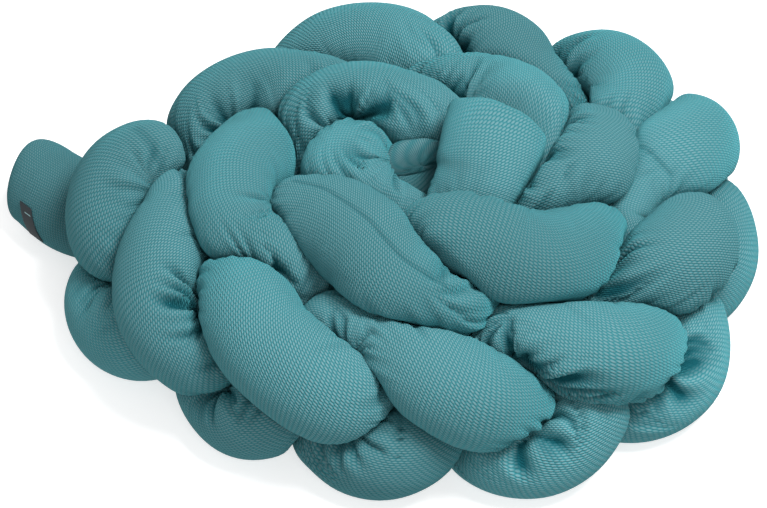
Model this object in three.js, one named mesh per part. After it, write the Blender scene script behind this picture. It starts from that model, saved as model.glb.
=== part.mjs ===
import * as THREE from 'three';

// A braided crib bumper: three filled velvet strands in a flat braid that stands on its edge in a coil,
// with a blank label on the loose end of one strand.
// Sizes are in mm. The floor is z = 0, the origin is the middle of the underside, and -Y is the front.

const strandWidth = 88;
const strandCount = 3;
const gap = 5.3;
const footHeight = 0.47 * strandWidth;
const ringSpacing = 18;
const ringSides = 16;
const softness = 9;
const girthRounds = 8;
const girthStep = 0.7;
const mostSwell = 1.12;
const ownBend = 0.93;
const leastSpacing = 0.62 * strandWidth;
const settleRounds = 60;
const settleStep = 0.3;
const settleEvenness = 0.5;
const neighbourReach = 1.6 * strandWidth;
const heldOnTop = 0.9;
const capLength = 34;
const capRings = 4;
const capSquareness = 2.4;
const flareLength = 120;
const curveSteps = 1200;
const knotLoops = 0.25;
const leastChord = 5;
const leastWidth = 0.01;
const loopStep = 0.05;
const tiny = 1e-6;
const labelLength = 38;
const labelWidth = 22;
const labelThickness = 1.4;
const labelLift = 0.7;
const labelMiddle = 68;
const labelSide = 92;
const labelCells = { along: 4, around: 3 };
const clothColor = 0x4f9497;
const labelColor = 0x2b3236;

// The coil: one row for each place where a strand comes over the top edge, from the tail inwards.
// loop: its number; strand number is loop modulo three. x, y: where the strand's middle is there.
// top: its height. lean: degrees that the braid leans inwards. depth: half of how far the strands'
// middles are apart through the braid.
const coil = [
  { loop: -1, x: -140, y: 125, top: 120, lean: 0, depth: 30 },
  { loop: 0, x: -203, y: 51, top: 128, lean: 0, depth: 24 },
  { loop: 1, x: -164, y: -45, top: 128, lean: -10, depth: 30 },
  { loop: 2, x: -88, y: -148, top: 125, lean: -18, depth: 17 },
  { loop: 3, x: 29, y: -156, top: 126, lean: -2, depth: 30 },
  { loop: 4, x: 146, y: -151, top: 126, lean: -10, depth: 30 },
  { loop: 5, x: 227, y: -83, top: 127, lean: 4, depth: 30 },
  { loop: 6, x: 253, y: 34, top: 128, lean: 16, depth: 30 },
  { loop: 7, x: 239, y: 118, top: 132, lean: 2, depth: 30 },
  { loop: 8, x: 135, y: 150, top: 132, lean: 0, depth: 30 },
  { loop: 9, x: 32, y: 180, top: 132, lean: 0, depth: 30 },
  { loop: 10, x: -96, y: 132, top: 140, lean: 0, depth: 30 },
  { loop: 11, x: -141, y: -30, top: 144, lean: -24, depth: 30 },
  { loop: 12, x: 5, y: -129, top: 154, lean: -24, depth: 30 },
  { loop: 13, x: 137, y: -135, top: 152, lean: -24, depth: 30 },
  { loop: 14, x: 204, y: 16, top: 160, lean: -24, depth: 30 },
  { loop: 15, x: 137, y: 108, top: 152, lean: -24, depth: 30 },
  { loop: 16, x: -14, y: 89, top: 158, lean: 0, depth: 30 },
  { loop: 17, x: -28, y: 18, top: 156, lean: 0, depth: 30 },
  { loop: 18, x: 66, y: -66, top: 152, lean: 0, depth: 30 },
  { loop: 19, x: 110, y: 20, top: 160, lean: 0, depth: 30 },
];

// Points that lead each strand's middle into the braid and out of it: the loose tail of strand_b, and
// the squared ends that show in the coil's middle.
const tail = [
  { x: -343, y: 136, z: 42 },
  { x: -288, y: 88, z: 41 },
  { x: -232, y: 66, z: 41 },
  { x: -188, y: 46, z: 48 },
  { x: -162, y: 26, z: 80 },
];
const tuckedEnd = [
  { x: -220, y: 12, z: 42 },
  { x: -229, y: -31, z: 41 },
  { x: -210, y: -60, z: 48 },
];
const brightEnd = [
  { x: 15, y: -54, z: 80 },
  { x: 80, y: -48, z: 110 },
  { x: 118, y: -24, z: 150 },
  { x: 128, y: 12, z: 174 },
  { x: 134, y: 48, z: 178 },
];
const darkEnd = [
  { x: 52, y: -24, z: 92 },
  { x: 46, y: -10, z: 126 },
  { x: 42, y: 8, z: 154 },
];

// Where each strand is in the braid, counted in loops. flare: how much wider its flattened end is.
const strandEnds = [
  { name: 'strand_a', lead: [], first: -0.35, last: 16.9, end: brightEnd, flare: 0.4 },
  { name: 'strand_b', lead: tail, first: 0.55, last: 17.3, end: darkEnd, flare: 0 },
  { name: 'strand_c', lead: tuckedEnd, first: 1.15, last: 18.2, end: [], flare: 0 },
];

const up = new THREE.Vector3(0, 0, 1);

// A smooth value between the rows of the coil: Catmull-Rom through one column.
function between(column, u) {
  const last = coil.length - 1;
  const place = Math.min(Math.max(u - coil[0].loop, 0), last - tiny);
  const row = Math.floor(place);
  const t = place - row;
  const at = (k) => coil[Math.min(Math.max(row + k, 0), last)][column];
  const [a, b, c, d] = [at(-1), at(0), at(1), at(2)];
  return b + 0.5 * t * (c - a + t * (2 * a - 5 * b + 4 * c - d + t * (3 * (b - c) + d - a)));
}

// The way outwards from the coil, level, square to the braid's path.
function outwards(u) {
  const dx = between('x', u + loopStep) - between('x', u - loopStep);
  const dy = between('y', u + loopStep) - between('y', u - loopStep);
  return new THREE.Vector3(dy, -dx, 0).normalize();
}

// A strand's middle: a figure of eight across the braid, carried along the coil.
function strandPoint(strand, u) {
  const turn = (2 * Math.PI * (u - strand)) / strandCount + Math.PI / 2;
  const lean = THREE.MathUtils.degToRad(between('lean', u));
  const out = outwards(u);
  const across = up.clone().multiplyScalar(Math.cos(lean)).addScaledVector(out, -Math.sin(lean));
  const through = out.clone().multiplyScalar(Math.cos(lean)).addScaledVector(up, Math.sin(lean));
  const halfWidth = (between('top', u) - footHeight) / (2 * Math.cos(lean));
  return new THREE.Vector3(between('x', u), between('y', u), between('top', u))
    .addScaledVector(across, halfWidth * (Math.sin(turn) - 1))
    .addScaledVector(through, -between('depth', u) * Math.sin(2 * turn));
}

// Places along a strand of this length: even rings, and closer ones where each end closes.
function placesAlong(total) {
  const places = [];
  for (let i = 0; i < capRings; i += 1) {
    places.push(capLength * (1 - Math.cos((Math.PI * i) / (2 * capRings))));
  }
  const middle = total - 2 * capLength;
  const count = Math.round(middle / ringSpacing);
  for (let i = 0; i <= count; i += 1) {
    places.push(capLength + (middle * i) / count);
  }
  return places.concat(places.slice(0, capRings).reverse().map((place) => total - place));
}

// How wide the strand is there: from 0 at its closed ends to 1, and more where it is flattened out.
function fullness(along, total, flare) {
  const end = Math.min(along, total - along) / capLength;
  const wider = 1 + flare * Math.max((along - total) / flareLength + 1, 0);
  return end >= 1 ? wider : wider * (1 - (1 - end) ** capSquareness) ** (1 / capSquareness);
}

// The stations of a strand: points on its middle line.
function stationsOf(strand, { first, last, lead, end, flare }) {
  const knots = lead.map(({ x, y, z }) => new THREE.Vector3(x, y, z));
  const count = Math.round((last - first) / knotLoops);
  for (let i = 0; i <= count; i += 1) {
    knots.push(strandPoint(strand, first + ((last - first) * i) / count));
  }
  end.forEach(({ x, y, z }) => knots.push(new THREE.Vector3(x, y, z)));
  const fine = new THREE.CatmullRomCurve3(knots, false, 'centripetal').getPoints(curveSteps);
  const begin = first - ((last - first) * lead.length) / count;
  const finish = last + ((last - first) * end.length) / count;
  const lengths = [0];
  for (let i = 1; i < fine.length; i += 1) {
    lengths.push(lengths[i - 1] + fine[i].distanceTo(fine[i - 1]));
  }
  const total = lengths[curveSteps];
  let k = 0;
  return placesAlong(total).map((along) => {
    while (k < curveSteps - 1 && lengths[k + 1] < along) {
      k += 1;
    }
    const t = (along - lengths[k]) / (lengths[k + 1] - lengths[k]);
    const loop = begin + ((finish - begin) * (k + t)) / curveSteps;
    const over = Math.sin((2 * Math.PI * (loop - strand)) / strandCount + Math.PI / 2);
    return {
      strand,
      along,
      loop,
      width: (strandWidth / 2) * fullness(along, total, flare),
      give: 1 - heldOnTop * Math.max(over, 0),
      home: fine[k].clone().lerp(fine[k + 1], t),
      shift: new THREE.Vector3(),
      at: new THREE.Vector3(),
    };
  });
}

// Whether two stations are neighbours on one strand rather than two pieces of cloth that meet.
function neighbours(a, b) {
  return a.strand === b.strand && Math.abs(a.along - b.along) < neighbourReach;
}

// The strands push each other aside where their middles come too near, and rest on the floor.
function settle(strands) {
  const all = strands.flat();
  const apart = new THREE.Vector3();
  for (let round = 0; round < settleRounds; round += 1) {
    all.forEach((station) => station.at.copy(station.home).add(station.shift));
    all.forEach((a, i) => {
      for (let j = i + 1; j < all.length; j += 1) {
        const b = all[j];
        apart.subVectors(b.at, a.at);
        const distance = apart.length();
        if (distance < leastSpacing && !neighbours(a, b)) {
          const push = (settleStep * (leastSpacing - distance)) / Math.max(distance, 1);
          a.shift.addScaledVector(apart, -push * a.give);
          b.shift.addScaledVector(apart, push * b.give);
        }
      }
      const low = footHeight - a.home.z - a.shift.z;
      a.shift.z += Math.max(low, 0);
    });
    strands.forEach((strand) => {
      const before = strand.map((station) => station.shift.clone());
      for (let i = 1; i < strand.length - 1; i += 1) {
        apart.lerpVectors(before[i - 1], before[i + 1], 1 / 2);
        strand[i].shift.lerp(apart, settleEvenness);
      }
    });
  }
  all.forEach((station) => station.at.copy(station.home).add(station.shift));
}

// Directions around each station, carried along the strand without twisting.
function frameStrand(strand) {
  let side = new THREE.Vector3(0, 0, 1);
  strand.forEach((station, i) => {
    const before = strand[Math.max(i - 1, 0)].at;
    const after = strand[Math.min(i + 1, strand.length - 1)].at;
    const ahead = after.clone().sub(before).normalize();
    side = side.clone().addScaledVector(ahead, -side.dot(ahead)).normalize();
    station.ahead = ahead;
    station.side = side;
    station.other = ahead.clone().cross(side);
  });
}

// The direction from a station at an angle around its strand.
function wayRound(station, angle) {
  const way = station.side.clone().multiplyScalar(Math.cos(angle));
  return way.addScaledVector(station.other, Math.sin(angle));
}

// A strand's stations with one more halfway between each two.
function closer(strand) {
  return strand.flatMap((a, i) => {
    const b = strand[Math.min(i + 1, strand.length - 1)];
    const along = (a.along + b.along) / 2;
    const width = (a.width + b.width) / 2;
    const half = { ...a, along, width, at: a.at.clone().lerp(b.at, 1 / 2) };
    return a === b ? [a] : [a, half];
  });
}

// The room from a station before it meets other cloth: a strand has the space that is nearer to its own
// middle than to any other.
function roomToward(station, way, all) {
  let room = Infinity;
  const v = new THREE.Vector3();
  all.forEach((other) => {
    v.subVectors(other.at, station.at);
    const toward = v.dot(way);
    if (toward <= tiny) {
      return;
    }
    const squared = v.lengthSq();
    if (neighbours(station, other)) {
      const bend = (ownBend * squared) / (2 * toward);
      room = squared > leastChord ** 2 ? Math.min(room, bend) : room;
      return;
    }
    const share = squared + station.width ** 2 - other.width ** 2 - gap * Math.sqrt(squared);
    room = Math.min(room, Math.max(share, 1) / (2 * toward));
  });
  return room;
}

// How far the cloth reaches into its room, up to the strand's full size. It lies flat on the floor.
function reach(station, way, room) {
  const full = Math.max(station.width, leastWidth) * station.swell;
  const soft = full * (1 + (full / room) ** softness) ** (-1 / softness);
  return way.z < 0 ? Math.min(soft, station.at.z / -way.z) : soft;
}

// The girth stays that of a free strand, so the strand swells where its neighbours press it in.
function fillGirth(strand, all) {
  const last = strand.length - 1;
  strand.forEach((station) => {
    station.swell = 1;
    station.ways = Array.from({ length: ringSides }, (_, k) => {
      return wayRound(station, (2 * Math.PI * k) / ringSides);
    });
    station.rooms = station.ways.map((way) => roomToward(station, way, all));
  });
  for (let round = 0; round < girthRounds; round += 1) {
    const swells = strand.map((station) => {
      const ring = ringOf(station);
      const around = ring.reduce((sum, p, k) => sum + p.distanceTo(ring[(k + 1) % ringSides]), 0);
      const free = 2 * ringSides * Math.sin(Math.PI / ringSides) * Math.max(station.width, leastWidth);
      const swell = station.swell * (free / around) ** girthStep;
      return Math.min(Math.max(swell, 1), mostSwell);
    });
    strand.forEach((station, i) => {
      const beside = swells[Math.max(i - 1, 0)] + swells[Math.min(i + 1, last)];
      station.swell = (beside + 2 * swells[i]) / 4;
    });
  }
}

// The cloth's points round a station.
function ringOf(station) {
  return station.ways.map((way, k) =>
    station.at.clone().addScaledVector(way, reach(station, way, station.rooms[k])),
  );
}

// One closed tube of cloth through a strand's rings.
function strandMesh(strand, name) {
  const faces = [];
  const points = strand.flatMap((station, i) => {
    const tip = i === 0 || i === strand.length - 1;
    return (tip ? [station.at] : ringOf(station)).flatMap((p) => p.toArray());
  });
  const last = points.length / 3 - 1;
  for (let k = 0; k < ringSides; k += 1) {
    const next = (k + 1) % ringSides;
    faces.push(0, 1 + next, 1 + k);
    faces.push(last, last - ringSides + k, last - ringSides + next);
    for (let i = 0; i < strand.length - 3; i += 1) {
      const a = 1 + i * ringSides + k;
      const b = 1 + i * ringSides + next;
      faces.push(a, b, a + ringSides, b, b + ringSides, a + ringSides);
    }
  }
  const shape = new THREE.BufferGeometry();
  shape.setAttribute('position', new THREE.Float32BufferAttribute(points, 3));
  shape.setIndex(faces);
  shape.computeVertexNormals();
  const cloth = new THREE.MeshStandardMaterial({ color: clothColor, roughness: 0.9, metalness: 0 });
  const mesh = new THREE.Mesh(shape, cloth);
  mesh.name = name;
  return mesh;
}

// A point on a strand's cloth, at a distance along it and an angle around it.
function clothPoint(strand, all, along, angle, lift) {
  const i = strand.findIndex((station) => station.along > along);
  const [a, b] = [strand[i - 1], strand[i]].map((station) => {
    const way = wayRound(station, angle);
    const radius = reach(station, way, roomToward(station, way, all));
    return station.at.clone().addScaledVector(way, radius + lift);
  });
  return a.lerp(b, (along - strand[i - 1].along) / (strand[i].along - strand[i - 1].along));
}

// The blank label: a thin patch that follows the tail's cloth, a little off it.
function labelMesh(strand, all) {
  const { along, around } = labelCells;
  const points = [];
  const faces = [];
  for (const lift of [labelLift, labelLift + labelThickness]) {
    for (let i = 0; i <= along; i += 1) {
      for (let k = 0; k <= around; k += 1) {
        const place = labelMiddle + labelLength * (i / along - 0.5);
        const turn = ((k / around - 0.5) * 2 * labelWidth) / strandWidth;
        const angle = THREE.MathUtils.degToRad(labelSide) + turn;
        const p = clothPoint(strand, all, place, angle, lift);
        points.push(p.x, p.y, p.z);
      }
    }
  }
  const row = around + 1;
  const layer = (along + 1) * row;
  const quad = (a, b, c, d) => faces.push(a, c, b, a, d, c);
  for (let i = 0; i < along; i += 1) {
    for (let k = 0; k < around; k += 1) {
      const a = i * row + k;
      quad(a, a + 1, a + row + 1, a + row);
      quad(layer + a, layer + a + row, layer + a + row + 1, layer + a + 1);
    }
  }
  for (let i = 0; i < along; i += 1) {
    const [a, b] = [i * row, i * row + around];
    quad(a, a + row, a + row + layer, a + layer);
    quad(b, b + layer, b + row + layer, b + row);
  }
  for (let k = 0; k < around; k += 1) {
    const b = along * row + k;
    quad(k, k + layer, k + 1 + layer, k + 1);
    quad(b, b + 1, b + 1 + layer, b + layer);
  }
  const shape = new THREE.BufferGeometry();
  shape.setAttribute('position', new THREE.Float32BufferAttribute(points, 3));
  shape.setIndex(faces);
  shape.computeVertexNormals();
  const material = new THREE.MeshStandardMaterial({ color: labelColor, roughness: 0.7, metalness: 0 });
  const mesh = new THREE.Mesh(shape, material);
  mesh.name = 'label';
  return mesh;
}

const strands = strandEnds.map((ends, strand) => stationsOf(strand, ends));
settle(strands);
strands.forEach(frameStrand);
const cells = strands.flatMap(closer);
const bumper = new THREE.Group();
strandEnds.forEach(({ name }, strand) => {
  fillGirth(strands[strand], cells);
  bumper.add(strandMesh(strands[strand], name));
});
bumper.add(labelMesh(strands[1], cells));

// The origin is the middle of the underside's box.
const box = new THREE.Box3().setFromObject(bumper);
const middle = box.getCenter(new THREE.Vector3()).setZ(0);
bumper.children.forEach((piece) => piece.geometry.translate(-middle.x, -middle.y, 0));

export default bumper;
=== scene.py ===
import math

import bpy
import numpy as np
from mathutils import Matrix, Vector


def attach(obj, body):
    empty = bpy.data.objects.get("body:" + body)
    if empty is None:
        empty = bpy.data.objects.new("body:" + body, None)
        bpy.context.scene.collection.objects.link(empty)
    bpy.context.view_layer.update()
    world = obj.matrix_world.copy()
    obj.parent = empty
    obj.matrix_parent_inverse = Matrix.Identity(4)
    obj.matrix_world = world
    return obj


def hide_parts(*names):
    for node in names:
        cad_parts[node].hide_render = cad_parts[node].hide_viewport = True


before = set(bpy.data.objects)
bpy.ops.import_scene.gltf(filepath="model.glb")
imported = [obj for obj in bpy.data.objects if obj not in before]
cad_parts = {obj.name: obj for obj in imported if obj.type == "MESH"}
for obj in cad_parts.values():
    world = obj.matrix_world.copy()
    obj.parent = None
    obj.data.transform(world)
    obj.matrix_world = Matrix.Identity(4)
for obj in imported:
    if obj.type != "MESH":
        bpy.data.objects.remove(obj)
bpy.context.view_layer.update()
print("frame loaded")

# Lengths are in mm until a mesh is made. The braid is the CAD part's own, worked out with far closer rings.
strandWidth = 88.0
footHeight = 0.47 * strandWidth
braid = {"count": 3, "knotLoops": 0.25, "curveSteps": 1200}
cap = {"length": 34.0, "rings": 4, "squareness": 2.4, "flareLength": 120.0}
rest = {"spacing": 0.62 * strandWidth, "rounds": 60, "step": 0.3, "evenness": 0.5, "held": 0.9}
fit = {"neighbours": 1.6 * strandWidth, "ownBend": 0.93, "leastChord": 5.0, "softness": 9.0}
packed = {"ringSpacing": 18.0, "sides": 16, "gap": 5.3}
girth = {"rounds": 8, "most": 1.12, "pull": 0.7}

# One row for each place where a strand comes over the top edge: loop, x, y, top, lean in degrees, and
# depth, which is half of how far the strands' middles are apart through the braid.
columns = {"loop": 0, "x": 1, "y": 2, "top": 3, "lean": 4, "depth": 5}
coil = np.array(
    [
        (-1, -140, 125, 120, 0, 30),
        (0, -203, 51, 128, 0, 24),
        (1, -164, -45, 128, -10, 30),
        (2, -88, -148, 125, -18, 17),
        (3, 29, -156, 126, -2, 30),
        (4, 146, -151, 126, -10, 30),
        (5, 227, -83, 127, 4, 30),
        (6, 253, 34, 128, 16, 30),
        (7, 239, 118, 132, 2, 30),
        (8, 135, 150, 132, 0, 30),
        (9, 32, 180, 132, 0, 30),
        (10, -96, 132, 140, 0, 30),
        (11, -141, -30, 144, -24, 30),
        (12, 5, -129, 154, -24, 30),
        (13, 137, -135, 152, -24, 30),
        (14, 204, 16, 160, -24, 30),
        (15, 137, 108, 152, -24, 30),
        (16, -14, 89, 158, 0, 30),
        (17, -28, 18, 156, 0, 30),
        (18, 66, -66, 152, 0, 30),
        (19, 110, 20, 160, 0, 30),
    ],
    float,
)
# Where each strand is in the braid, in loops, and the points that lead its middle in and out.
strandEnds = [
    {
        "name": "strand_a",
        "lead": [],
        "first": -0.35,
        "last": 16.9,
        "end": [(15, -54, 80), (80, -48, 110), (118, -24, 150), (128, 12, 174), (134, 48, 178)],
        "flare": 0.4,
    },
    {
        "name": "strand_b",
        "lead": [(-343, 136, 42), (-288, 88, 41), (-232, 66, 41), (-188, 46, 48), (-162, 26, 80)],
        "first": 0.55,
        "last": 17.3,
        "end": [(52, -24, 92), (46, -10, 126), (42, 8, 154)],
        "flare": 0,
    },
    {
        "name": "strand_c",
        "lead": [(-220, 12, 42), (-229, -31, 41), (-210, -60, 48)],
        "first": 1.15,
        "last": 18.2,
        "end": [],
        "flare": 0,
    },
]


# A smooth value between the coil's rows: a cubic through one column, with the slope at each row half the
# difference of the rows beside it.
def between(column, u):
    last = len(coil) - 1
    place = np.clip(np.asarray(u, float) - coil[0, 0], 0, last - 1e-6)
    row = np.floor(place).astype(int)
    t = place - row
    a, b, c, d = (coil[np.clip(row + k, 0, last), columns[column]] for k in (-1, 0, 1, 2))
    return b + 0.5 * t * (c - a + t * (2 * a - 5 * b + 4 * c - d + t * (3 * (b - c) + d - a)))


# A direction of length 1: the vector over its own length.
def unit(v):
    return v / np.maximum(np.linalg.norm(v, axis=-1, keepdims=True), 1e-9)


# A strand's middle: crest + half width (sin turn - 1) across - depth sin(2 turn) through.
def strandPoints(strand, u):
    turn = 2 * math.pi * (u - strand) / braid["count"] + math.pi / 2
    lean = np.radians(between("lean", u))[:, None]
    dx = between("x", u + 0.05) - between("x", u - 0.05)
    dy = between("y", u + 0.05) - between("y", u - 0.05)
    out = unit(np.stack([dy, -dx, 0 * dx], 1))
    up = np.array([0.0, 0.0, 1.0])
    across = up * np.cos(lean) - out * np.sin(lean)
    through = out * np.cos(lean) + up * np.sin(lean)
    crest = np.stack([between("x", u), between("y", u), between("top", u)], 1)
    half = (between("top", u)[:, None] - footHeight) / (2 * np.cos(lean))
    return (
        crest
        + across * half * (np.sin(turn)[:, None] - 1)
        - through * (between("depth", u) * np.sin(2 * turn))[:, None]
    )


# A smooth curve through the knots, at even steps from knot to knot: cubics whose slopes weigh the knots by
# the square root of the distance between them.
def smoothCurve(knots, steps):
    ends = [2 * knots[0] - knots[1], 2 * knots[-1] - knots[-2]]
    p = np.vstack([ends[:1], knots, ends[1:]])
    place = np.linspace(0, len(knots) - 1, steps + 1)
    row = np.minimum(place.astype(int), len(knots) - 2)
    t = (place - row)[:, None]
    a, b, c, d = (p[row + k] for k in range(4))
    da, db, dc = (((q - r) ** 2).sum(1, keepdims=True) ** 0.25 for q, r in ((b, a), (c, b), (d, c)))
    m = db * ((b - a) / da - (c - a) / (da + db) + (c - b) / db)
    n = db * ((c - b) / db - (d - b) / (db + dc) + (d - c) / dc)
    return b + t * (m + t * (3 * (c - b) - 2 * m - n + t * (2 * (b - c) + m + n)))


# Even places along a strand, closer where its two ends close: cap length (1 - cos) there.
def placesAlong(total, spacing, rings):
    ends = cap["length"] * (1 - np.cos(np.pi * np.arange(rings) / (2 * rings)))
    count = int(math.floor((total - 2 * cap["length"]) / spacing + 0.5))
    middle = np.linspace(cap["length"], total - cap["length"], count + 1)
    return np.concatenate([ends, middle, total - ends[::-1]])


# The share of its full width that a strand has there: a superellipse over each closed end, and the last
# stretch may be flattened out wider.
def fullness(along, total, flare):
    end = np.clip(np.minimum(along, total - along) / cap["length"], 0, 1)
    wider = np.clip((along - total) / cap["flareLength"] + 1, 0, 1)
    return (1 - (1 - end) ** cap["squareness"]) ** (1 / cap["squareness"]) * (1 + flare * wider)


# A strand's stations: its middle line at even places, with each place's loop and width.
def stationsOf(strand, ends):
    count = int(math.floor((ends["last"] - ends["first"]) / braid["knotLoops"] + 0.5))
    loops = ends["first"] + (ends["last"] - ends["first"]) * np.arange(count + 1) / count
    parts = [ends["lead"], strandPoints(strand, loops), ends["end"]]
    knots = np.vstack([np.array(part, float).reshape(-1, 3) for part in parts])
    fine = smoothCurve(knots, braid["curveSteps"])
    step = (ends["last"] - ends["first"]) / count
    loop = np.linspace(
        ends["first"] - step * len(ends["lead"]), ends["last"] + step * len(ends["end"]), len(fine)
    )
    length = np.concatenate([[0], np.cumsum(np.linalg.norm(np.diff(fine, axis=0), axis=1))])
    along = placesAlong(length[-1], packed["ringSpacing"], cap["rings"])
    at = np.stack([np.interp(along, length, fine[:, k]) for k in range(3)], 1)
    loopThere = np.interp(along, length, loop)
    over = np.sin(2 * math.pi * (loopThere - strand) / braid["count"] + math.pi / 2)
    return {
        "strand": np.full(len(along), strand),
        "along": along,
        "loop": loopThere,
        "total": length[-1],
        "flare": ends["flare"],
        "width": strandWidth / 2 * fullness(along, length[-1], ends["flare"]),
        "give": 1 - rest["held"] * np.maximum(over, 0),
        "at": at,
    }


# The strands push each other aside where their middles come too near, and rest on the floor. Each pair
# moves apart by a share of what it lacks in spacing, and the moves are evened out along each strand.
def settle(strands):
    home, give, along, strand = (
        np.concatenate([s[key] for s in strands]) for key in ("at", "give", "along", "strand")
    )
    cuts = np.cumsum([len(s["at"]) for s in strands])[:-1]
    near = strand[:, None] == strand[None]
    near &= abs(along[:, None] - along[None]) < fit["neighbours"]
    shift = np.zeros_like(home)
    for _ in range(rest["rounds"]):
        at = home + shift
        apart = at[:, None] - at[None]
        distance = np.linalg.norm(apart, axis=2)
        push = rest["step"] * (rest["spacing"] - distance) / np.maximum(distance, 1)
        push[(distance >= rest["spacing"]) | near] = 0
        shift += (apart * push[:, :, None]).sum(1) * give[:, None]
        shift[:, 2] += np.maximum(footHeight - home[:, 2] - shift[:, 2], 0)
        for part in np.split(np.arange(len(home)), cuts):
            mean = (shift[part[:-2]] + shift[part[2:]]) / 2
            shift[part[1:-1]] += rest["evenness"] * (mean - shift[part[1:-1]])
    for s, moved in zip(strands, np.split(home + shift, cuts)):
        s["at"] = moved


# Two directions across each station, carried along without twisting: the last side less its part along the
# strand, and the one at right angles to both.
def carryFrames(at):
    ahead = unit(np.vstack([at[1] - at[0], at[2:] - at[:-2], at[-1] - at[-2]]))
    sides = np.empty_like(at)
    side = np.array([0.0, 0.0, 1.0])
    for i, direction in enumerate(ahead):
        side = unit(side - direction * (side @ direction))
        sides[i] = side
    return sides, np.cross(ahead, sides)


# A cubic through the stations' values, with each slope from the values on both sides.
def curveThrough(x, y, places):
    slope = np.gradient(y, x, axis=0)
    i = np.clip(np.searchsorted(x, places) - 1, 0, len(x) - 2)
    gap = (x[i + 1] - x[i])[:, None]
    t = (places - x[i])[:, None] / gap
    a, b, m, n = y[i], y[i + 1], slope[i] * gap, slope[i + 1] * gap
    return a + t * (m + t * (3 * (b - a) - 2 * m - n + t * (2 * (a - b) + m + n)))


# The same strand with closer stations.
def closer(s, places):
    return {
        **s,
        "strand": np.full(len(places), s["strand"][0]),
        "along": places,
        "loop": np.interp(places, s["along"], s["loop"]),
        "width": strandWidth / 2 * fullness(places, s["total"], s["flare"]),
        "at": curveThrough(s["along"], s["at"], places),
    }


# The room that each station has in each direction before it meets another strand, or itself in a bend:
# half the way to each other middle, over the cosine of the angle to it, and the least of these.
def roomAround(s, ways, cells, gap):
    room = np.empty(ways.shape[:2])
    for i, (at, width, along, way) in enumerate(zip(s["at"], s["width"], s["along"], ways)):
        v = cells["at"] - at
        squared = (v * v).sum(1)
        own = (cells["strand"] == s["strand"][0]) & (abs(cells["along"] - along) < fit["neighbours"])
        share = np.maximum(squared + width**2 - cells["width"] ** 2 - gap * np.sqrt(squared), 1)
        share = np.where(own, fit["ownBend"] * squared, share)
        share[own & (squared <= fit["leastChord"] ** 2)] = np.inf
        toward = way @ v.T
        room[i] = np.where(toward > 1e-6, share / np.maximum(2 * toward, 1e-9), np.inf).min(1)
    return room


# Each column's values evened out with the rings before and after: (before + 2 here + after) / 4.
def evened(column, times):
    for _ in range(times):
        padded = np.vstack([column[:1], column, column[-1:]])
        column = (padded[:-2] + 2 * column + padded[2:]) / 4
    return column


# How far each way goes before it meets the floor: the middle's height over the way's fall.
def floorAround(s, ways):
    return np.where(ways[..., 2] < 0, s["at"][:, None, 2] / np.maximum(-ways[..., 2], 1e-9), np.inf)


# The cloth's distance from the middle: full (1 + (full / room)^softness)^(-1 / softness), and no further
# than the floor. The girth stays the free strand's, so full grows where neighbours press the strand in.
def reachOf(s, ways, room, evenness=1):
    width = np.maximum(s["width"], 0.01)[:, None]
    floor = floorAround(s, ways)
    full = width
    for _ in range(girth["rounds"]):
        soft = full * (1 + (full / room) ** fit["softness"]) ** (-1 / fit["softness"])
        radius = np.minimum(soft, floor)
        points = ways * radius[..., None]
        around = np.linalg.norm(points - np.roll(points, 1, 1), axis=2).sum(1, keepdims=True)
        around *= math.pi / (ways.shape[1] * math.sin(math.pi / ways.shape[1]))
        share = full / width * (2 * math.pi * width / np.maximum(around, 1e-6)) ** girth["pull"]
        full = width * evened(np.clip(share, 1, girth["most"]), evenness)
    return radius


# Even directions round each station: side cos(angle) + other side sin(angle).
def waysRound(s, sides):
    side, other = carryFrames(s["at"])
    angle = np.arange(sides)[None] * 2 * math.pi / sides
    return side[:, None] * np.cos(angle)[..., None] + other[:, None] * np.sin(angle)[..., None]


# All strands' stations end to end, which is what each cross-section is held against.
def joined(strands):
    return {key: np.concatenate([s[key] for s in strands]) for key in ("at", "width", "along", "strand")}


# A strand's places with one more halfway between each two.
def halfSteps(s):
    return np.unique(np.append(s["along"], (s["along"][1:] + s["along"][:-1]) / 2))


strands = [stationsOf(i, ends) for i, ends in enumerate(strandEnds)]
settle(strands)

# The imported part's own box is centred on the origin, so its rings give the shift that does it.
halfway = joined([closer(s, halfSteps(s)) for s in strands])
corners = []
for s in strands:
    ways = waysRound(s, packed["sides"])
    room = roomAround(s, ways, halfway, packed["gap"])
    points = s["at"][:, None] + ways * reachOf(s, ways, room)[..., None]
    corners += [points.min((0, 1)), points.max((0, 1))]
middle = (np.min(corners, 0) + np.max(corners, 0)) / 2 * (1, 1, 0)
print("braid settled, middle", middle.round(2), "lengths", [round(s["total"]) for s in strands])


# The cover is cut longer and wider than the strand's middle line and free girth, so it lies flat outside a
# bend and has cloth to spare inside it.
clothLength = 1.4
clothGirth = 1.12 * math.pi * strandWidth
# The rings that the cloth is made of, in mm.
velvet = {
    "ringSpacing": 2.7,
    "sides": 116,
    "capRings": 18,
    "gap": 1.5,  # left between two strands' cloth
    "cellSpacing": 7.0,  # of the other middles that the room is measured to
    "cellCapRings": 6,
    "blur": 6,  # how often the room is evened out, and then the reach
    "evenness": 12,
    "least": 0.5,
    "seed": 20,
}


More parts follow.
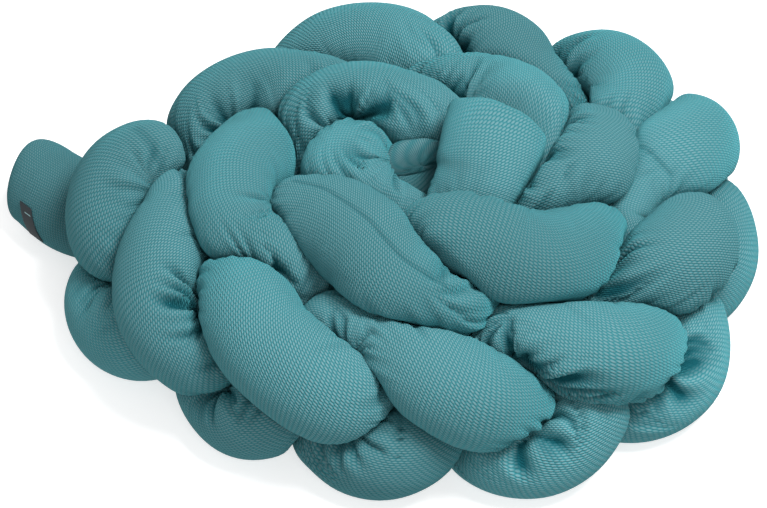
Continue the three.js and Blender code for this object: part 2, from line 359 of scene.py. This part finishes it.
# A mesh from rings of points: quads between the rings, a fan at each tip, and a UV map in metres, which is
# the length along times the side's share of the girth.
def tubeMesh(name, points, along, around):
    rings, sides = points.shape[:2]
    inner = points[1:-1].reshape(-1, 3)
    vertices = np.vstack([points[0, 0], inner, points[-1, 0]])
    ring, side = np.meshgrid(np.arange(rings - 3), np.arange(sides), indexing="ij")
    a = 1 + ring * sides + side
    b = 1 + ring * sides + (side + 1) % sides
    quads = np.stack([a, b, b + sides, a + sides], -1).reshape(-1, 4)
    k = np.arange(sides)
    last = len(vertices) - 1
    first = np.stack([0 * k, 1 + (k + 1) % sides, 1 + k], 1)
    final = np.stack([0 * k + last, last - sides + k, last - sides + (k + 1) % sides], 1)
    corner = np.concatenate([quads.ravel(), first.ravel(), final.ravel()])
    starts = np.concatenate([np.arange(len(quads)) * 4, len(quads) * 4 + np.arange(2 * sides) * 3])
    mesh = bpy.data.meshes.new(name)
    mesh.vertices.add(len(vertices))
    mesh.vertices.foreach_set("co", ((vertices - middle) / 1000).astype(np.float32).ravel())
    mesh.loops.add(len(corner))
    mesh.loops.foreach_set("vertex_index", corner.astype(np.int32))
    mesh.polygons.add(len(starts))
    mesh.polygons.foreach_set("loop_start", starts.astype(np.int32))
    here, there = along[1 + ring], along[2 + ring]
    quadAlong = np.stack([here, here, there, there], -1)
    quadUv = np.stack([quadAlong, np.stack([side, side + 1, side + 1, side], -1)], -1)
    none = np.zeros(sides)
    firstAlong = np.stack([none + along[0], none + along[1], none + along[1]], 1)
    finalAlong = np.stack([none + along[-1], none + along[-2], none + along[-2]], 1)
    firstUv = np.stack([firstAlong, np.stack([k + 0.5, k + 1, k], 1)], -1)
    finalUv = np.stack([finalAlong, np.stack([k + 0.5, k, k + 1], 1)], -1)
    uv = np.vstack([part.reshape(-1, 2) for part in (quadUv, firstUv, finalUv)])
    uv = uv * (clothLength / 1000, around / sides / 1000)
    layer = mesh.uv_layers.new(name="cloth")
    layer.data.foreach_set("uv", uv.astype(np.float32).ravel())
    mesh.update(calc_edges=True)
    mesh.validate()
    mesh.shade_smooth()
    piece = bpy.data.objects.new(name, mesh)
    bpy.context.scene.collection.objects.link(piece)
    return piece


# Each value evened out with its neighbours round and along the strand: (one side + 2 here + other side) / 4
# both ways.
def blurred(grid, times):
    for _ in range(times):
        grid = (np.roll(grid, 1, 1) + 2 * grid + np.roll(grid, -1, 1)) / 4
        padded = np.concatenate([grid[:1], grid, grid[-1:]])
        grid = (padded[:-2] + 2 * grid + padded[2:]) / 4
    return grid


# The grid's values at places between its points, straight between the four round each place.
def sampled(grid, i, k):
    sides = grid.shape[1]
    i = np.clip(i, 0, grid.shape[0] - 1.001)
    i0 = np.floor(i).astype(int)
    k0 = np.floor(k).astype(int)
    s, t = i - i0, k - k0
    if grid.ndim == 3:
        s, t = s[..., None], t[..., None]
    a, b = grid[i0, k0 % sides], grid[i0, (k0 + 1) % sides]
    c, d = grid[i0 + 1, k0 % sides], grid[i0 + 1, (k0 + 1) % sides]
    return (a * (1 - t) + b * t) * (1 - s) + (c * (1 - t) + d * t) * s


# Noise with no slow changes and no sharp ones: even noise blurred a little, less the same blurred more.
def bandNoise(shape, seed, few, many):
    noise = np.random.default_rng(seed).normal(size=shape)
    band = blurred(noise, few) - blurred(noise, many)
    return band / band.std()


# Folds that run up the slope of a field: noise averaged along short paths that follow the slope both ways,
# each step weighing the cosine of how far it is.
def folds(field, noise, cell, reach):
    alongSlope = np.gradient(field, axis=0) / cell[0]
    aroundSlope = (np.roll(field, -1, 1) - np.roll(field, 1, 1)) / (2 * cell[1])
    slope = blurred(np.stack([alongSlope, aroundSlope], -1), 4)
    way = slope / np.maximum(np.linalg.norm(slope, axis=-1, keepdims=True), 1e-6)  # 0 where it is level
    rows, sides = field.shape
    i0, k0 = np.meshgrid(np.arange(rows, dtype=float), np.arange(sides, dtype=float), indexing="ij")
    steps = int(round(reach / cell[0]))
    total = noise.copy()
    weight = 1.0
    for sign in (1, -1):
        i, k = i0.copy(), k0.copy()
        for n in range(1, steps + 1):
            there = sampled(way, i, k)
            i += sign * there[..., 0]
            k += sign * there[..., 1] * cell[0] / cell[1]
            share = math.cos(math.pi / 2 * n / (steps + 1))
            total += share * sampled(noise, i, k)
            weight += share
    total /= weight
    return total / total.std()


# A smooth step: 0 up to low, 1 from high on, 3 t^2 - 2 t^3 between. Low may be the greater, for a fall.
def smooth(value, low, high):
    t = np.clip((value - low) / (high - low), 0, 1)
    return t * t * (3 - 2 * t)


# A crease across its own ridge, and how dark the painted shade in its valley is.
creaseShape = {
    "swell": 0.4,
    "drop": 1.25,
    "from": 0.45,
    "most": 1.5,
    # dark, darkMost and longDark: how much painted shade goes into the creases' valleys.
    "dark": 0.5,
    "darkMost": 1.2,
    "longDark": 0.8,
}


# Rounded ridges with narrow valleys between: a low swell, less a steeper drop where the noise is low.
def creased(noise):
    valley = np.clip(-noise - creaseShape["from"], 0, creaseShape["most"])
    return creaseShape["swell"] * np.clip(noise, -1, 2) - creaseShape["drop"] * valley


# How the filled cloth gathers. It does so where it has spare length in a bend or spare girth, near to where
# it meets another strand, and at the tucks, in fine folds and longer ones, and it is softly lumpy all over.
gather = {
    "depth": 5.2,  # of the fine folds, in mm
    "longDepth": 3.6,
    "reach": 60.0,  # how far a fold runs, in mm
    "longReach": 74.0,
    "band": (1, 4),  # rounds of blur that the fine folds' noise is between
    "longBand": (4, 16),
    "longBlur": 12,
    "spare": 0.03,  # strength everywhere, for each share of bend and of spare girth, and at most
    "bend": 0.4,
    "girth": 1.5,
    "most": 0.32,
    "bendBlur": 8,
    "leastBend": 0.08,
    "mostBend": 0.6,
    "bendPull": 0.8,  # how far a bend, and a tuck's peak, turn the folds
    "fan": 1.6,
    "shut": 0.3,  # room over full reach, kept between these where the folds look for its slope
    "open": 4,
    "far": 2.4,  # room over full reach where the folds end, and where they are whole
    "near": 1.05,
    "squeezed": 0.66,  # and where the cloth is too pressed to fold, and is free to
    "free": 0.8,
    "tuck": 1.1,  # strength at the listed places, and the full reach over room where it ends and is whole
    "tuckFar": 0.05,
    "tuckNear": 0.5,
    "leastPatch": 0.1,  # strength left in the random patches that gather less
    "patchBlur": 60,
    "patchLow": -1.3,
    "patchHigh": 0.7,
    "blur": 4,
    "lump": 1.0,  # in mm, where the cloth is free
    "lumpBlur": 90,
    "lumpFrom": 0.95,
    "lumpTo": 1.4,
    "endFade": 30,  # in mm from the tips
}
# The places that gather most: strand, loop, angle round it in degrees, how far along it and round it they
# go in mm, and strength.
tucks = np.array(
    [
        (0, 0.18, 306, 36, 32, 0.7),
        (0, 1.98, 335, 34, 30, 0.6),
        (0, 2.87, 0, 26, 26, 1.0),
        (0, 3.56, 16, 20, 20, 0.4),
        (0, 4.83, 350, 30, 34, 0.9),
        (0, 6.64, 34, 22, 22, 0.6),
        (0, 8.89, 236, 28, 30, 0.8),
        (0, 11.5, 261, 20, 20, 0.5),
        (0, 12.5, 250, 34, 34, 0.8),
        (0, 15.32, 261, 34, 40, 1.0),
        (1, 1.43, 292, 30, 30, 0.9),
        (1, 2.83, 34, 34, 34, 1.0),
        (1, 4.07, 40, 46, 36, 1.0),
        (1, 4.45, 47, 24, 24, 0.5),
        (1, 7.29, 295, 26, 30, 0.9),
        (1, 10.34, 301, 44, 40, 0.9),
        (1, 12.7, 240, 40, 36, 0.9),
        (1, 16.08, 310, 44, 38, 1.0),
        (2, 0.75, 22, 34, 34, 0.8),
        (2, 2.31, 332, 26, 26, 0.6),
        (2, 3.86, 19, 34, 34, 0.9),
        (2, 4.84, 3, 28, 28, 0.7),
        (2, 5.35, 56, 30, 34, 0.8),
        (2, 8.36, 304, 30, 36, 0.9),
        (2, 11.4, 318, 44, 40, 0.9),
        (2, 13.65, 15, 26, 30, 0.7),
        (2, 14.05, 332, 22, 26, 0.6),
        (2, 17.31, 326, 40, 40, 0.9),
    ]
)
tuckShape = {"sharpness": 0.6, "power": 1.5, "unmet": 400}


# How much each place gathers because it is near a listed tuck, and a peak there that the folds fan from:
# strength exp(-0.6 distance^3) and exp(-distance), with distance over the tuck's own size.
def tucked(s, openness):
    sides = openness.shape[1]
    angle = np.arange(sides) * 2 * math.pi / sides
    total = np.zeros(openness.shape)
    fan = np.zeros(openness.shape)
    halfWidth = strandWidth / 2
    for _, loop, turn, along, around, strength in tucks[tucks[:, 0] == s["strand"][0]]:
        there = np.interp(loop, s["loop"], s["along"])
        away = (angle - math.radians(turn) + math.pi) % (2 * math.pi) - math.pi
        # The folds meet where the strand starts to touch its neighbour, nearest to the listed place.
        distance = np.hypot(s["along"][:, None] - there, halfWidth * away)
        distance += tuckShape["unmet"] * (openness > 1)
        row, side = np.unravel_index(np.argmin(distance), openness.shape)
        away = (angle - angle[side] + math.pi) % (2 * math.pi) - math.pi
        size = ((s["along"][:, None] - s["along"][row]) / along) ** 2 + (halfWidth * away / around) ** 2
        total = np.maximum(total, strength * np.exp(-tuckShape["sharpness"] * size ** tuckShape["power"]))
        fan += np.exp(-np.sqrt(size))
    return total, fan


# The sewn seams that show, each straight along or straight round a strand: strand, first and last loop, and
# first and last angle round it in degrees.
seams = np.array(
    [
        (0, 11.56, 12.3, 248, 248),
        (0, 12.28, 12.28, 180, 246),
        (0, 6.0, 6.0, 276, 330),
        (0, -0.05, -0.05, 270, 330),
        (1, 4.24, 4.24, 60, 110),
        (1, 4.36, 4.36, 60, 100),
    ]
)
seamLook = {"width": 3, "depth": 1.4, "dark": 0.5}


# How near each place is to a seam: 1 on it, falling straight to 0 at its width away.
def seamed(s, sides):
    angle = np.arange(sides) * 360 / sides
    total = np.zeros((len(s["along"]), sides))
    for _, first, last, start, end in seams[seams[:, 0] == s["strand"][0]]:
        a, b = (np.interp(loop, s["loop"], s["along"]) for loop in (first, last))
        aside = np.maximum(np.maximum(a - s["along"], s["along"] - b), 0)[:, None]
        turned = np.maximum(np.maximum(start - angle, angle - end), 0)
        beside = turned * math.pi / 180 * strandWidth / 2
        total = np.maximum(total, np.clip(1 - np.hypot(aside, beside) / seamLook["width"], 0, 1))
    return total


# The cloth's rise and fall where it gathers, in mm: depth times strength times the creased noise for both
# kinds of fold, plus the lumps, less the seams. And how much painted shade each place gets deep in a
# crease, with the seams darker too.
def gathered(s, ways, room, radius, seed):
    sides = ways.shape[1]
    shape = radius.shape
    cell = (velvet["ringSpacing"], math.pi * strandWidth / sides)
    ahead = unit(np.gradient(s["at"], s["along"], axis=0))
    curve = np.gradient(ahead, s["along"], axis=0)
    for _ in range(gather["bendBlur"]):
        curve[1:-1] = (curve[:-2] + 2 * curve[1:-1] + curve[2:]) / 4
    bend = np.einsum("ij,ikj->ik", curve, ways) * radius
    full = np.maximum(s["width"], 1)[:, None]
    openness = room / full
    ring = ways * radius[..., None]
    around = np.linalg.norm(np.roll(ring, 1, 1) - ring, axis=2).sum(1)
    spareGirth = np.maximum(1 - around[:, None] / (2 * math.pi * full), 0)
    tuck, fan = tucked(s, openness)
    field = np.log(np.clip(openness, gather["shut"], gather["open"]))
    field -= gather["bendPull"] * bend + gather["fan"] * fan
    drawn = folds(field, bandNoise(shape, seed, *gather["band"]), cell, gather["reach"])
    noise = bandNoise(shape, seed + 3, *gather["longBand"])
    drawnLong = folds(blurred(field, gather["longBlur"]), noise, cell, gather["longReach"])
    near = smooth(openness, gather["far"], gather["near"])
    free = smooth(openness, gather["squeezed"], gather["free"])
    random = np.random.default_rng(seed + 9)
    patch = [blurred(random.normal(size=shape), gather["patchBlur"]) for _ in range(2)]
    patch = [smooth(p / p.std(), gather["patchLow"], gather["patchHigh"]) for p in patch]
    patch = [gather["leastPatch"] + (1 - gather["leastPatch"]) * p for p in patch]
    spare = gather["spare"] + gather["bend"] * np.clip(bend - gather["leastBend"], 0, gather["mostBend"])
    spare = np.clip(spare + gather["girth"] * spareGirth, 0, gather["most"])
    everywhere = blurred(free * near * spare, gather["blur"])
    reached = smooth(1 / openness, gather["tuckFar"], gather["tuckNear"])
    placed = blurred(free * np.clip(gather["tuck"] * tuck * reached, 0, 1), gather["blur"])
    fine = everywhere * patch[0] + placed
    long = everywhere * patch[1] + placed
    lump = blurred(random.normal(size=shape), gather["lumpBlur"])
    ends = smooth(np.minimum(s["along"], s["total"] - s["along"]), 0, gather["endFade"])[:, None]
    rise = gather["depth"] * fine * creased(drawn) + gather["longDepth"] * long * creased(drawnLong)
    rise += gather["lump"] * smooth(openness, gather["lumpFrom"], gather["lumpTo"]) * lump / lump.std()
    seam = seamed(s, sides)
    rise -= seamLook["depth"] * seam
    # Painted shade in the creases' valleys, for the fine folds and the long ones; the seams are made darker
    # too.
    dark = fine * np.clip(-drawn - creaseShape["dark"], 0, creaseShape["darkMost"])
    longDark = long * np.clip(-drawnLong - creaseShape["dark"], 0, creaseShape["darkMost"])
    return ends * rise, ends * (seamLook["dark"] * seam + dark + creaseShape["longDark"] * longDark)


# The sewn ends: the way that each is wide, its share of the full width there, how far back it thins and its
# corners go, and how much further one side reaches than the other.
sewnEnds = [
    {
        "strand": 0,
        "last": True,
        "wide": (1, -0.15, 0),
        "share": 0.86,
        "length": 56,
        "corner": 20,
        "skew": -0.26,
    },
    {
        "strand": 1,
        "last": True,
        "wide": (1, 0.2, 0.1),
        "share": 1,
        "length": 22,
        "corner": 8,
        "skew": 0.1,
    },
    {
        "strand": 1,
        "last": False,
        "wide": (0, 0.7, 0.71),
        "share": 1.08,
        "length": 30,
        "corner": 30,
        "skew": 0.3,
    },
]
sewing = {"squareness": 2.5, "leastAcross": 0.02, "leastThick": 0.002, "stations": 7}


# The rings' points with one end sewn flat, like a pillow's edge. Across the seam the ring gets its share of
# full width over a superellipse at the corners, the other way it closes as a quarter ellipse, and the skew
# moves it along by how far across it is.
def sewn(s, points, end):
    distance = s["total"] - s["along"] if end["last"] else s["along"]
    tip, before = (-1, -1 - sewing["stations"]) if end["last"] else (0, sewing["stations"])
    ahead = unit(s["at"][tip] - s["at"][before])
    wide = np.array(end["wide"], float)
    wide = unit(wide - ahead * (wide @ ahead))
    thin = np.cross(ahead, wide)
    near = distance < max(end["length"], cap["length"])
    centre = s["at"][near][:, None]
    offset = points[near] - centre
    gone = distance[near]
    back = np.clip(gone / end["length"], 0, 1)
    power = sewing["squareness"]
    corner = np.clip(gone / end["corner"], sewing["leastAcross"], 1)
    across = (1 - (1 - corner) ** power) ** (1 / power) * (end["share"] + (1 - end["share"]) * back)
    thick = np.sqrt(1 - (1 - np.maximum(back, sewing["leastThick"])) ** 2)
    rounded = np.maximum(fullness(gone, s["total"], 0), sewing["leastAcross"])
    wideness = offset @ wide * (across / rounded)[:, None]
    thinness = offset @ thin * (thick / rounded)[:, None]
    longness = offset @ ahead + end["skew"] * wideness * (1 - back)[:, None]
    parts = ((wideness, wide), (thinness, thin), (longness, ahead))
    points[near] = centre + sum(amount[..., None] * way for amount, way in parts)
    points[..., 2] = np.maximum(points[..., 2], 0)
    return points


cellPlaces = [placesAlong(s["total"], velvet["cellSpacing"], velvet["cellCapRings"]) for s in strands]
cells = joined([closer(s, places) for s, places in zip(strands, cellPlaces)])
fineStrands = []
for n, (s, ends) in enumerate(zip(strands, strandEnds)):
    fine = closer(s, placesAlong(s["total"], velvet["ringSpacing"], velvet["capRings"]))
    ways = waysRound(fine, velvet["sides"])
    room = 1 / blurred(1 / roomAround(fine, ways, cells, velvet["gap"]), velvet["blur"])
    radius = reachOf(fine, ways, room, velvet["evenness"])
    rise, crease = gathered(fine, ways, room, radius, velvet["seed"] + n)
    radius = np.minimum(np.maximum(radius + rise, velvet["least"]), floorAround(fine, ways))
    radius[[0, -1]] = 0
    fine.update(ways=ways, radius=radius, crease=crease, name=ends["name"])
    fineStrands.append(fine)
print("cloth worked out", [f["radius"].shape for f in fineStrands])


# A link from one node's output to another's input.
def link(tree, start, end):
    tree.links.new(start, end)


# Each of a node's inputs gets its value, or a link from another node's output.
def feed(tree, node, inputs):
    for name, value in inputs.items():
        if isinstance(value, bpy.types.NodeSocket):
            link(tree, value, node.inputs[name])
        else:
            node.inputs[name].default_value = value


# A material with one Principled shader that has these values.
def newMaterial(name, values):
    material = bpy.data.materials.new(name)
    material.use_nodes = True
    tree = material.node_tree
    tree.nodes.clear()
    shader = tree.nodes.new("ShaderNodeBsdfPrincipled")
    feed(tree, shader, values)
    output = tree.nodes.new("ShaderNodeOutputMaterial")
    link(tree, shader.outputs[0], output.inputs["Surface"])
    return material, shader


# The grain's rows close round the strand: a whole number of rows and of grains goes into its girth.
velvetLook = {
    "shader": {
        "Roughness": 0.9,
        "Specular IOR Level": 0.05,
        "Sheen Weight": 0.35,
        "Sheen Roughness": 0.5,
        "Sheen Tint": (0.15, 0.8, 0.9, 1),
    },
    "color": (0.126, 0.25, 0.272, 1),
    "valley": (0.02, 0.155, 0.178, 1),
    # The colour of the painted shade in the creases, also used to darken the seams.
    "crease": (0.004, 0.06, 0.075, 1),
    "turn": math.radians(-39),
    "rows": 114,
    "grains": 45,
    "rowWeight": 0.9,  # of a grain's distance along its row, where the distance across it weighs 1
    "whole": 0.16,  # the distance where a grain stops being full height, and where it ends
    "gone": 0.6,
    "bump": 0.0006,
    "nap": 0.34,
}


# Grains of raised pile in staggered rows: height = 1 - smoothstep of each grain's elliptical distance.
def grainGroup(look):
    group = bpy.data.node_groups.new("grain", "ShaderNodeTree")
    for name, kind, way in (
        ("Place", "NodeSocketVector", "INPUT"),
        ("Long", "NodeSocketFloat", "INPUT"),
        ("Short", "NodeSocketFloat", "INPUT"),
        ("Turn", "NodeSocketFloat", "INPUT"),
        ("Height", "NodeSocketFloat", "OUTPUT"),
    ):
        group.interface.new_socket(name, in_out=way, socket_type=kind)
    nodes = group.nodes
    start = nodes.new("NodeGroupInput")
    end = nodes.new("NodeGroupOutput")

    # A Math node's output, from values or other outputs.
    def calc(operation, *values):
        node = nodes.new("ShaderNodeMath")
        node.operation = operation
        feed(group, node, dict(enumerate(values)))
        return node.outputs[0]

    turned = nodes.new("ShaderNodeVectorRotate")
    turned.rotation_type = "Z_AXIS"
    feed(group, turned, {"Vector": start.outputs["Place"], "Angle": start.outputs["Turn"]})
    split = nodes.new("ShaderNodeSeparateXYZ")
    link(group, turned.outputs[0], split.inputs[0])
    row = calc("DIVIDE", split.outputs["Y"], start.outputs["Short"])
    place = calc("DIVIDE", split.outputs["X"], start.outputs["Long"])
    place = calc("MULTIPLY_ADD", calc("FLOOR", row), 0.5, place)
    x = calc("SUBTRACT", calc("FRACT", place), 0.5)
    y = calc("SUBTRACT", calc("FRACT", row), 0.5)
    xSquared = calc("MULTIPLY", calc("MULTIPLY", x, x), look["rowWeight"])
    distance = calc("SQRT", calc("ADD", xSquared, calc("MULTIPLY", y, y)))
    soft = nodes.new("ShaderNodeMapRange")
    soft.interpolation_type = "SMOOTHSTEP"
    ends = {"From Min": look["whole"], "From Max": look["gone"], "To Min": 1, "To Max": 0}
    feed(group, soft, {"Value": distance, **ends})
    link(group, soft.outputs[0], end.inputs["Height"])
    return group


grainNodes = grainGroup(velvetLook)


# The velvet: the valley's colour turns to the pile's with the grain's height and then to the painted crease
# shade's colour with the crease shade attribute, which also darkens the seams, and is times 1 + the painted
# light and shade on its lobe. The cloth takes the light as if it leaned the way the pile lies: its normal
# is unit(normal + nap along the strand), and then the grain's bump.
def velvetMaterial(name, look, nap):
    material, shader = newMaterial(name, look["shader"])
    tree = material.node_tree
    nodes = tree.nodes
    girthMetres = clothGirth / 1000
    uv = nodes.new("ShaderNodeUVMap")
    uv.uv_map = "cloth"
    grain = nodes.new("ShaderNodeGroup")
    grain.node_tree = grainNodes
    spacing = {
        "Long": girthMetres * abs(math.sin(look["turn"])) / look["grains"],
        "Short": girthMetres * math.cos(look["turn"]) / look["rows"],
    }
    feed(tree, grain, {"Place": uv.outputs[0], "Turn": look["turn"], **spacing})
    pile = nodes.new("ShaderNodeMix")
    pile.data_type = "RGBA"
    feed(tree, pile, {"A": look["valley"], "B": look["color"], "Factor": grain.outputs[0]})
    # The painted shade in the creases, and the darker seams, as an attribute.
    crease = nodes.new("ShaderNodeAttribute")
    crease.attribute_name = "crease"
    deep = nodes.new("ShaderNodeMix")
    deep.data_type = "RGBA"
    deep.clamp_factor = True
    inputs = {"A": pile.outputs["Result"], "B": look["crease"], "Factor": crease.outputs["Fac"]}
    feed(tree, deep, inputs)
    # The painted light and shade on the lobes, as an attribute.
    lobeShading = nodes.new("ShaderNodeAttribute")
    lobeShading.attribute_name = "lobeShading"
    lighter = nodes.new("ShaderNodeMath")
    feed(tree, lighter, {0: lobeShading.outputs["Fac"], 1: 1})
    shaded = nodes.new("ShaderNodeVectorMath")
    shaded.operation = "SCALE"
    feed(tree, shaded, {0: deep.outputs["Result"], "Scale": lighter.outputs[0]})
    tangent = nodes.new("ShaderNodeTangent")
    tangent.direction_type = "UV_MAP"
    tangent.uv_map = "cloth"
    geometry = nodes.new("ShaderNodeNewGeometry")
    lean = nodes.new("ShaderNodeVectorMath")
    lean.operation = "MULTIPLY_ADD"
    feed(tree, lean, {0: tangent.outputs[0], 1: (nap, nap, nap), 2: geometry.outputs["Normal"]})
    even = nodes.new("ShaderNodeVectorMath")
    even.operation = "NORMALIZE"
    link(tree, lean.outputs[0], even.inputs[0])
    bump = nodes.new("ShaderNodeBump")
    raised = {"Strength": 1, "Distance": look["bump"], "Height": grain.outputs[0]}
    feed(tree, bump, {**raised, "Normal": even.outputs[0]})
    feed(tree, shader, {"Base Color": shaded.outputs[0], "Normal": bump.outputs[0]})
    return material


# Which way along each strand its pile lies.
napWay = {"strand_a": 1, "strand_b": 1, "strand_c": -1}
# Painted light and shade on the lobes, where each is painted lighter or darker: strand, loop, and how much.
lobeShades = np.array(
    [
        (1, -0.5, -0.22),
        (0, 0, -0.12),
        (2, 0.75, 0.25),
        (2, 2, 0.1),
        (1, 2.8, -0.15),
        (2, 3.8, 0.38),
        (0, 4.8, 0.24),
        (2, 5.4, -0.14),
        (0, 6, 0.06),
        (2, 8, -0.22),
        (0, 9, 0.12),
        (1, 10, -0.1),
        (2, 11, -0.1),
        (0, 12, -0.16),
        (1, 13, -0.26),
        (2, 14, -0.12),
        (0, 15, 0.1),
        (2, 17, 0.05),
        (1, 18.2, -0.24),
    ]
)
lobeShadeLoops = 0.6


# How much lighter each ring is painted, as painted light and shade: the sum of amount exp(-(loops away /
# lobeShadeLoops)^2).
def lobeShadingOf(s):
    own = lobeShades[lobeShades[:, 0] == s["strand"][0]]
    away = (s["loop"][:, None] - own[:, 1]) / lobeShadeLoops
    return (own[:, 2] * np.exp(-(away**2))).sum(1)


# One value for each vertex of a strand, as an attribute: one at each tip, and the rings' between.
def addAttribute(piece, name, tips, rings):
    layer = piece.data.attributes.new(name, "FLOAT", "POINT")
    layer.data.foreach_set("value", np.hstack([tips[0], rings, tips[1]]).astype(np.float32))


for fine in fineStrands:
    points = fine["at"][:, None] + fine["ways"] * fine["radius"][..., None]
    for end in sewnEnds:
        if end["strand"] == fine["strand"][0]:
            points = sewn(fine, points, end)
    fine["points"] = points
    piece = tubeMesh(fine["name"] + "_velvet", points, fine["along"], clothGirth)
    # The painted crease shade and the darker seams, for each vertex.
    addAttribute(piece, "crease", (0, 0), fine["crease"][1:-1].ravel())
    # The painted light and shade on the lobes, for each ring.
    lobeShading = lobeShadingOf(fine)
    addAttribute(piece, "lobeShading", lobeShading[[0, -1]], np.repeat(lobeShading[1:-1], velvet["sides"]))
    nap = velvetLook["nap"] * napWay[fine["name"]]
    piece.data.materials.append(velvetMaterial(fine["name"] + "_velvet", velvetLook, nap))
    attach(piece, "root")
    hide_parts(fine["name"])
print("velvet strands made")

# The blank label: a thin patch over the tail's cloth, a little off it, on a slant, with one pale stitch.
# Its places are in mm along the tail and degrees round it.
label = {
    "along": 41,
    "width": 14,
    "slant": 13,
    "angle": 67,
    "turn": 40,
    "cells": (36, 14),
    "lift": 1.0,
    "thick": 0.8,
    "blur": 6,
    "stitchRow": 8,
    "stitch": (5, 11),
}
labelLooks = {
    "labelTape": {"Base Color": (0.012, 0.02, 0.024, 1), "Roughness": 0.8},
    "labelStitch": {"Base Color": (0.3, 0.5, 0.52, 1), "Roughness": 0.8},
}


# The patch's points: the tail's evened cloth at along + width k + slant i and angle + turn i, moved off it
# by the lift, straight away from the tail's middle.
def labelPoints(s, lift):
    i, k = np.meshgrid(*(np.linspace(0, 1, n + 1) for n in label["cells"]), indexing="ij")
    along = label["along"] + label["width"] * k + label["slant"] * i
    ring = np.interp(along, s["along"], np.arange(len(s["along"])))
    side = (label["angle"] + label["turn"] * i) / 360 * velvet["sides"]
    cloth = np.stack([blurred(s["points"][..., n], label["blur"]) for n in range(3)], -1)
    at = sampled(cloth, ring, side)
    middleLine = s["at"][:, None] + 0 * s["points"]
    return at + unit(at - sampled(middleLine, ring, side)) * lift


tail = fineStrands[1]
rows, sides = (n + 1 for n in label["cells"])
sheets = [labelPoints(tail, label["lift"] + lift).reshape(-1, 3) for lift in (0, label["thick"])]
i, k = np.meshgrid(np.arange(rows - 1), np.arange(sides - 1), indexing="ij")
a = (i * sides + k).ravel()
quads = np.stack([a, a + 1, a + 1 + sides, a + sides], 1)
rim = np.concatenate(
    [
        np.arange(sides - 1),
        np.arange(1, rows) * sides - 1,
        rows * sides - 1 - np.arange(sides - 1),
        (rows - 1 - np.arange(rows - 1)) * sides,
    ]
)
after = np.roll(rim, -1)
edge = np.stack([rim, after, after + rows * sides, rim + rows * sides], 1)
labelMesh = bpy.data.meshes.new("label_tape")
places = (np.vstack(sheets) - middle) / 1000
faces = np.vstack([quads[:, ::-1], quads + rows * sides, edge])
labelMesh.from_pydata(places.tolist(), [], faces.tolist())
stitched = (i == label["stitchRow"]) & (k >= label["stitch"][0]) & (k <= label["stitch"][1])
slots = np.concatenate([0 * a, stitched.ravel(), 0 * rim]).astype(np.int32)
labelMesh.polygons.foreach_set("material_index", slots)
labelMesh.update()
labelMesh.shade_smooth()
labelPiece = bpy.data.objects.new("label_tape", labelMesh)
bpy.context.scene.collection.objects.link(labelPiece)
for name, values in labelLooks.items():
    labelMesh.materials.append(newMaterial(name, values)[0])
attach(labelPiece, "root")
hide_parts("label")
print("label made")

# The floor and the light, in metres and watts.
studio = {
    "floorSize": 30,
    "floor": {
        "Base Color": (0.7, 0.7, 0.7, 1),
        "Emission Color": (1, 1, 1, 1),
        "Emission Strength": 0.6,
        "Roughness": 0.9,
    },
    "world": {"Color": (1, 1, 1, 1), "Strength": 0.48},
    "target": (0, 0, 0.1),
    "lights": [
        {"name": "key", "place": (0.9, -0.5, 2.6), "size": 1.1, "power": 86},
        {"name": "fill", "place": (0.2, -2.4, 2.0), "size": 1.6, "power": 25},
    ],
}
bpy.ops.mesh.primitive_plane_add(size=studio["floorSize"])
floor = bpy.context.object
floor.name = "floor"
floor.data.materials.append(newMaterial("floor", studio["floor"])[0])
floor.visible_diffuse = False

world = bpy.data.worlds.new("studio")
world.use_nodes = True
feed(world.node_tree, world.node_tree.nodes["Background"], studio["world"])
bpy.context.scene.world = world

for lamp in studio["lights"]:
    data = bpy.data.lights.new(lamp["name"], "AREA")
    data.shape = "DISK"
    data.size = lamp["size"]
    data.energy = lamp["power"]
    light = bpy.data.objects.new(lamp["name"], data)
    bpy.context.scene.collection.objects.link(light)
    light.location = lamp["place"]
    light.rotation_mode = "QUATERNION"
    toward = Vector(studio["target"]) - Vector(lamp["place"])
    light.rotation_quaternion = toward.to_track_quat("-Z", "Y")

# The camera: the photograph's angle and frame, through a long lens.
shot = {
    "elevation": 45.62,
    "distance": 3.0,
    "target": 0.09,
    "focal": 3174.4,
    "centre": (376.5, 230.0),
    "frame": (767, 508),
    "sensor": 36,
}
width, height = shot["frame"]
cameraData = bpy.data.cameras.new("camera")
cameraData.sensor_width = shot["sensor"]
cameraData.lens = shot["focal"] / width * shot["sensor"]
cameraData.shift_x = (width / 2 - shot["centre"][0]) / width
cameraData.shift_y = (shot["centre"][1] - height / 2) / width
camera = bpy.data.objects.new("camera", cameraData)
bpy.context.scene.collection.objects.link(camera)
elevation = math.radians(shot["elevation"])
camera.location = (
    0,
    -math.cos(elevation) * shot["distance"],
    shot["target"] + math.sin(elevation) * shot["distance"],
)
camera.rotation_euler = (math.pi / 2 - elevation, 0, 0)
bpy.context.scene.camera = camera
bpy.context.scene.view_settings.view_transform = "Standard"
print("stage, light and camera set")
